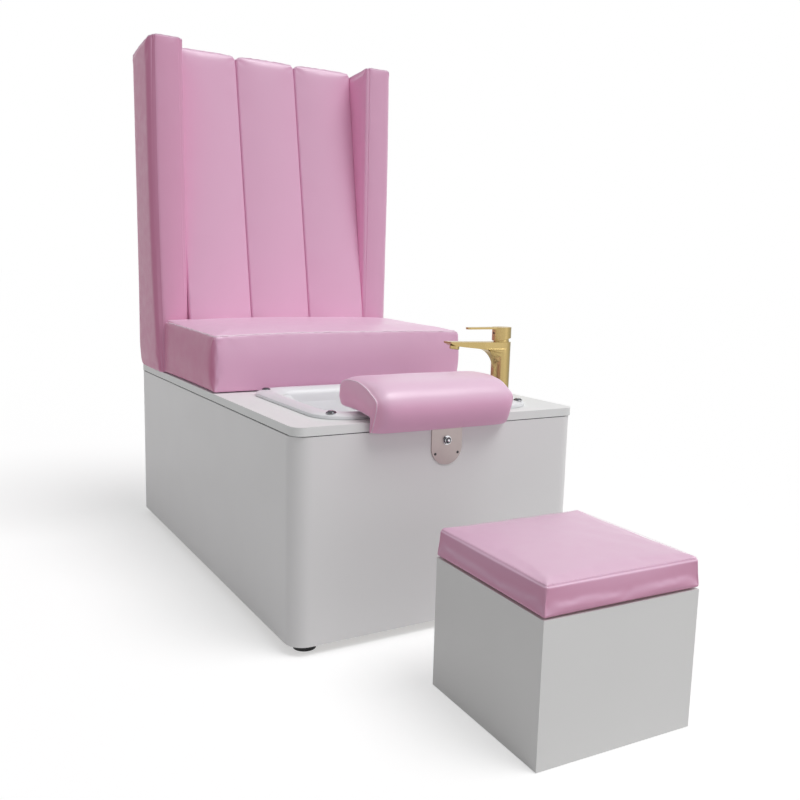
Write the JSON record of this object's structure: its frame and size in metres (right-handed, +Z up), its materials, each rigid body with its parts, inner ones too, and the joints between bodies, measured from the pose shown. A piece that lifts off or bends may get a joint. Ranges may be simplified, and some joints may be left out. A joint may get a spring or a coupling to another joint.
{
  "type": "pedicure spa chair",
  "caption": "Salon pedicure chair: white cabinet with a foot basin and lever tap, padded footrest, deep seat, winged channel-padded back and a loose padded stool.",
  "frame": {"origin": "on the floor, under the middle of the set's box, the chair with its stool in front", "axes": "+Z up; -Y is the front, towards the stool; +X is to the right seen from the front"},
  "size_m": [0.7392, 1.7724, 1.3945],
  "materials": {
    "cabinet_white": "satin white panel",
    "deck_white": "satin white slab",
    "basin_white": "glossy white acrylic",
    "stool_white": "satin white panel",
    "pink_leather": "soft pink upholstery leather",
    "timber": "plain plywood",
    "zinc_steel": "zinc plated",
    "brushed_plate": "brushed stainless",
    "braided_hose": "braided steel",
    "bright_chrome": "polished",
    "soft_gold": "satin champagne gold",
    "black_rubber": "matt black",
    "black_plastic": "matt black",
    "white_plastic": "plain white"
  },
  "bodies": {
    "chair": {"cabinet_shell": "cabinet_white", "base_panel": "timber", "corner_posts": "timber", "deck_rails": "timber", "rear_access_panel": "cabinet_white", "panel_screws": "zinc_steel", "foot_pads": "black_rubber", "foot_stems": "zinc_steel", "foot_nuts": "zinc_steel", "deck_seal": "black_rubber", "deck_slab": "deck_white", "basin": "basin_white", "rim_screws": "zinc_steel", "rim_caps": "bright_chrome", "drain_body": "bright_chrome", "drain_washer": "black_rubber", "drain_nut": "zinc_steel", "waste_trap": "black_plastic", "waste_pipe": "white_plastic", "waste_outlet": "black_plastic", "tap_body": "soft_gold", "tap_gasket": "black_rubber", "aerator": "soft_gold", "cartridge": "white_plastic", "cartridge_cover": "soft_gold", "tap_stud": "zinc_steel", "tap_clamp": "zinc_steel", "tap_nut": "zinc_steel", "supply_hoses": "braided_hose", "water_inlets": "bright_chrome", "footrest_bracket": "brushed_plate", "footrest_board": "timber", "footrest_cushion": "pink_leather", "footrest_screws": "zinc_steel", "bracket_bolt": "bright_chrome", "bracket_nut": "zinc_steel", "bracket_screws": "black_plastic", "seat_board": "timber", "seat_cushion": "pink_leather", "wing_boards": "timber", "wing_pad_left": "pink_leather", "wing_pad_right": "pink_leather", "back_board": "timber", "back_channel_left": "pink_leather", "back_channel_middle": "pink_leather", "back_channel_right": "pink_leather", "back_ribs": "timber", "rear_cover": "pink_leather", "back_top_pad": "pink_leather", "back_angles": "zinc_steel"},
    "tap_rotor": {"cartridge_rotor": "white_plastic"},
    "tap_lever": {"lever_stem": "brushed_plate", "stem_pin": "brushed_plate", "handle": "soft_gold", "handle_screw": "black_plastic", "handle_plug": "black_plastic"},
    "drain_stopper": {"drain_plug": "bright_chrome"},
    "stool": {"stool_box": "stool_white"},
    "stool_lid": {"stool_lid_board": "timber", "stool_cushion": "pink_leather"}
  },
  "joints": [
    {"name": "lever_swivel", "type": "hinge", "parent": "chair", "child": "tap_rotor", "pos_m": [0.309, -0.09975, 0.6085], "axis": [0, 0, 1], "range_deg": [-45, 45]},
    {"name": "lever_lift", "type": "hinge", "parent": "tap_rotor", "child": "tap_lever", "pos_m": [0.309, -0.09975, 0.6085], "axis": [0, 1, 0], "range_deg": [0, 22]},
    {"name": "stopper_lift", "type": "slide", "parent": "chair", "child": "drain_stopper", "axis": [0, 0, 1], "range_m": [0, 0.008]},
    {"name": "stool_slide", "type": "slide", "parent": "chair", "child": "stool", "axis": [0, -1, 0], "range_m": [-0.15, 0.5]},
    {"name": "stool_lid_lift", "type": "slide", "parent": "stool", "child": "stool_lid", "axis": [0, 0, 1], "range_m": [0, 0.15]}
  ]
}
